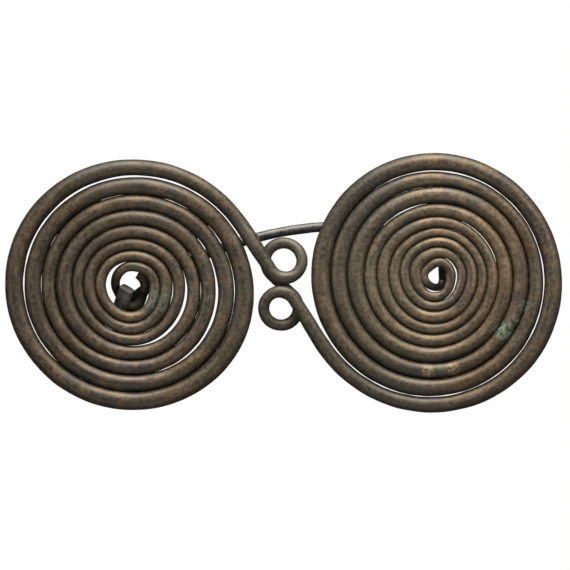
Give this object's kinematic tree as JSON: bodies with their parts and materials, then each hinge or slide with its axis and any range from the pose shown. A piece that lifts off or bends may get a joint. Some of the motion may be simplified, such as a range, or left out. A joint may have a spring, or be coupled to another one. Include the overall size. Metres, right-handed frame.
{
  "type": "fibula brooch",
  "caption": "Spectacle fibula: one coiled bronze wire with a flat spiral on each side, a figure of eight between them, and a pin and catch on the back.",
  "frame": {"origin": "centre of the bounding box in X and Y, on the surface the brooch lies on, which is the underside of the pin", "axes": "+Z out of the face of the coils, +X from the left coil to the right coil as seen from the front, +Y towards the side that the pin bows to"},
  "size_m": [0.1796, 0.0852, 0.0158],
  "materials": {
    "bronze": "brown patina, rubbed brighter on the crowns of the wire"
  },
  "bodies": {
    "root": {"fibula_wire": "bronze"}
  },
  "joints": []
}
